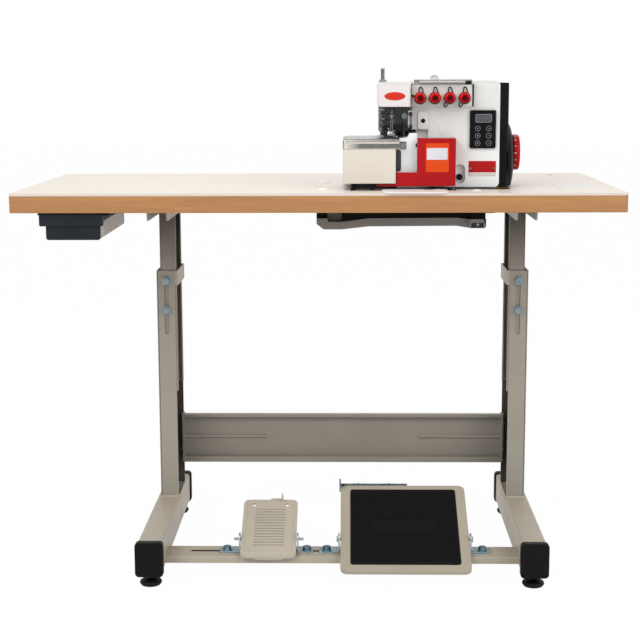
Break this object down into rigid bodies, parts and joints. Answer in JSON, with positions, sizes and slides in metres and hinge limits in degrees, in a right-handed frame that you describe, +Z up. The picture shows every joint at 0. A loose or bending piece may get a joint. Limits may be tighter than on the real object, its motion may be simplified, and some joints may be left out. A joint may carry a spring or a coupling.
{
  "type": "overlock sewing machine on stand",
  "caption": "Overlock sewing machine sunk in a laminated table on a height-adjustable steel stand, with a speed treadle, a presser-lift pedal and a drawer.",
  "frame": {"origin": "on the floor under the middle of the overall box", "axes": "+X to the right as the operator sees it, -Y towards the operator, +Z up"},
  "size_m": [1.204, 0.632, 1.03],
  "materials": {
    "cream_paint": "semi-gloss",
    "red_cover": "gloss",
    "red_knob": "gloss",
    "black_plastic": "satin",
    "black_gloss": "gloss",
    "khaki_paint": "fine texture",
    "pale_khaki_paint": "fine texture",
    "dark_paint": "satin",
    "grey_paint": "satin",
    "cast_white": "satin",
    "steel": "satin",
    "zinc": "zinc plated",
    "laminate": "textured laminate",
    "beech_edge": "satin",
    "white_plastic": "satin",
    "slate_plastic": "satin",
    "rubber": "matte",
    "clear_guard": "clear",
    "clear_oil": "clear"
  },
  "bodies": {
    "stand": {"base_tubes": "pale_khaki_paint", "tube_end_caps": "black_plastic", "outer_columns": "khaki_paint", "column_straps": "pale_khaki_paint", "cross_beam": "khaki_paint", "treadle_bar": "pale_khaki_paint", "pedal_brackets": "zinc", "stand_bolts": "zinc"},
    "foot_front_left": {"foot_front_left": "black_plastic"},
    "foot_front_right": {"foot_front_right": "black_plastic"},
    "foot_rear_left": {"foot_rear_left": "black_plastic"},
    "foot_rear_right": {"foot_rear_right": "black_plastic"},
    "treadle": {"treadle_frame": "pale_khaki_paint", "treadle_mat": "rubber", "treadle_rod_plate": "zinc"},
    "lift_pedal": {"lift_pedal": "pale_khaki_paint"},
    "table": {"table_board": "laminate", "edge_band": "beech_edge", "table_insert": "white_plastic", "inner_columns": "khaki_paint", "column_bolts": "zinc", "table_brackets": "khaki_paint", "support_frame": "grey_paint", "frame_bolts": "white_plastic", "drawer_rails": "black_plastic", "rubber_mounts": "rubber", "base_pan": "black_plastic", "head_casting": "cream_paint", "arm_frame": "dark_paint", "bed_casting": "cast_white", "needle_plate": "steel", "lower_knife": "steel", "tension_plate": "cream_paint", "thread_guide": "steel", "oil_sight": "clear_oil", "control_panel": "black_gloss", "motor_cover": "black_gloss", "motor_stator": "dark_paint", "shaft_bearings": "steel", "face_cover": "cream_paint"},
    "drawer": {"drawer_tray": "grey_paint", "drawer_front": "slate_plastic"},
    "bed_cover": {"bed_cover": "cream_paint", "cloth_plate": "steel"},
    "front_cover": {"front_cover": "red_cover"},
    "eye_guard": {"eye_guard": "clear_guard"},
    "presser_foot": {"presser_foot": "steel"},
    "needle_bar": {"needle_bar": "steel"},
    "main_shaft": {"main_shaft": "steel", "handwheel": "red_knob"},
    "lower_looper": {"lower_looper": "steel"},
    "upper_looper": {"upper_looper": "steel"},
    "feed_dog": {"feed_dog": "steel"},
    "upper_knife": {"upper_knife": "steel"},
    "tension_knob_1": {"tension_knob_1": "red_knob"},
    "tension_knob_2": {"tension_knob_2": "red_knob"},
    "tension_knob_3": {"tension_knob_3": "red_knob"},
    "tension_knob_4": {"tension_knob_4": "red_knob"},
    "pressure_screw": {"pressure_screw": "steel"},
    "stitch_button": {"stitch_button": "black_plastic"}
  },
  "joints": [
    {"name": "table_height", "type": "slide", "parent": "stand", "child": "table", "axis": [0, 0, 1], "range_m": [-0.048, 0]},
    {"name": "front_left_foot_turn", "type": "hinge", "parent": "stand", "child": "foot_front_left", "pos_m": [-0.3395, -0.29, 0.03], "axis": [0, 0, 1], "continuous": true},
    {"name": "rear_left_foot_turn", "type": "hinge", "parent": "stand", "child": "foot_rear_left", "pos_m": [-0.3395, 0.206, 0.03], "axis": [0, 0, 1], "continuous": true},
    {"name": "front_right_foot_turn", "type": "hinge", "parent": "stand", "child": "foot_front_right", "pos_m": [0.4325, -0.29, 0.03], "axis": [0, 0, 1], "continuous": true},
    {"name": "rear_right_foot_turn", "type": "hinge", "parent": "stand", "child": "foot_rear_right", "pos_m": [0.4325, 0.206, 0.03], "axis": [0, 0, 1], "continuous": true},
    {"name": "treadle_tilt", "type": "hinge", "parent": "stand", "child": "treadle", "pos_m": [0.1765, -0.214, 0.071], "axis": [1, 0, 0], "range_deg": [-15, 5]},
    {"name": "lift_pedal_tilt", "type": "hinge", "parent": "stand", "child": "lift_pedal", "pos_m": [-0.104, -0.214, 0.071], "axis": [1, 0, 0], "range_deg": [-15, 3]},
    {"name": "drawer_slide", "type": "slide", "parent": "table", "child": "drawer", "axis": [0, -1, 0], "range_m": [0, 0.2]},
    {"name": "bed_cover_hinge", "type": "hinge", "parent": "table", "child": "bed_cover", "pos_m": [0.0555, -0.078, 0.835], "axis": [0, 0, -1], "range_deg": [0, 90]},
    {"name": "front_cover_hinge", "type": "hinge", "parent": "table", "child": "front_cover", "pos_m": [0.22, -0.2, 0.7998], "axis": [1, 0, 0], "range_deg": [0, 85]},
    {"name": "eye_guard_hinge", "type": "hinge", "parent": "table", "child": "eye_guard", "pos_m": [0.184, -0.191, 0.927], "axis": [0, 0, 1], "range_deg": [0, 90]},
    {"name": "presser_foot_lift", "type": "slide", "parent": "table", "child": "presser_foot", "axis": [0, 0, 1], "range_m": [0, 0.006]},
    {"name": "needle_bar_slide", "type": "slide", "parent": "table", "child": "needle_bar", "axis": [0, 0, 1], "range_m": [-0.0245, 0]},
    {"name": "main_shaft_spin", "type": "hinge", "parent": "table", "child": "main_shaft", "pos_m": [0.307, -0.084, 0.8585], "axis": [1, 0, 0], "continuous": true},
    {"name": "lower_looper_rock", "type": "hinge", "parent": "table", "child": "lower_looper", "pos_m": [0.143, -0.114, 0.82], "axis": [0, 1, 0], "range_deg": [-12, 0]},
    {"name": "upper_looper_rock", "type": "hinge", "parent": "table", "child": "upper_looper", "pos_m": [0.155, -0.104, 0.832], "axis": [0, 1, 0], "range_deg": [-10, 0]},
    {"name": "feed_dog_slide", "type": "slide", "parent": "table", "child": "feed_dog", "axis": [0, 1, 0], "range_m": [0, 0.002]},
    {"name": "upper_knife_slide", "type": "slide", "parent": "table", "child": "upper_knife", "axis": [0, 0, 1], "range_m": [-0.008, 0]},
    {"name": "tension_knob_1_turn", "type": "hinge", "parent": "table", "child": "tension_knob_1", "pos_m": [0.2025, -0.193, 0.9703], "axis": [0, 1, 0], "range_deg": [-360, 360]},
    {"name": "tension_knob_2_turn", "type": "hinge", "parent": "table", "child": "tension_knob_2", "pos_m": [0.2314, -0.193, 0.9703], "axis": [0, 1, 0], "range_deg": [-360, 360]},
    {"name": "tension_knob_3_turn", "type": "hinge", "parent": "table", "child": "tension_knob_3", "pos_m": [0.2606, -0.193, 0.9703], "axis": [0, 1, 0], "range_deg": [-360, 360]},
    {"name": "tension_knob_4_turn", "type": "hinge", "parent": "table", "child": "tension_knob_4", "pos_m": [0.2903, -0.193, 0.9703], "axis": [0, 1, 0], "range_deg": [-360, 360]},
    {"name": "pressure_screw_turn", "type": "hinge", "parent": "table", "child": "pressure_screw", "pos_m": [0.129, -0.15, 1.005], "axis": [0, 0, 1], "range_deg": [-360, 360]},
    {"name": "stitch_button_press", "type": "slide", "parent": "table", "child": "stitch_button", "axis": [0, 1, 0], "range_m": [0, 0.004], "stiffness_N_per_m": 400, "springref_m": -0.001}
  ],
  "couplings": [
    {"joint": "lower_looper_rock", "follows": "needle_bar_slide", "rad_per_m": 8.54},
    {"joint": "upper_looper_rock", "follows": "needle_bar_slide", "rad_per_m": 7.1167},
    {"joint": "upper_knife_slide", "follows": "needle_bar_slide", "ratio": 0.3265},
    {"joint": "feed_dog_slide", "follows": "needle_bar_slide", "ratio": -0.0816}
  ]
}
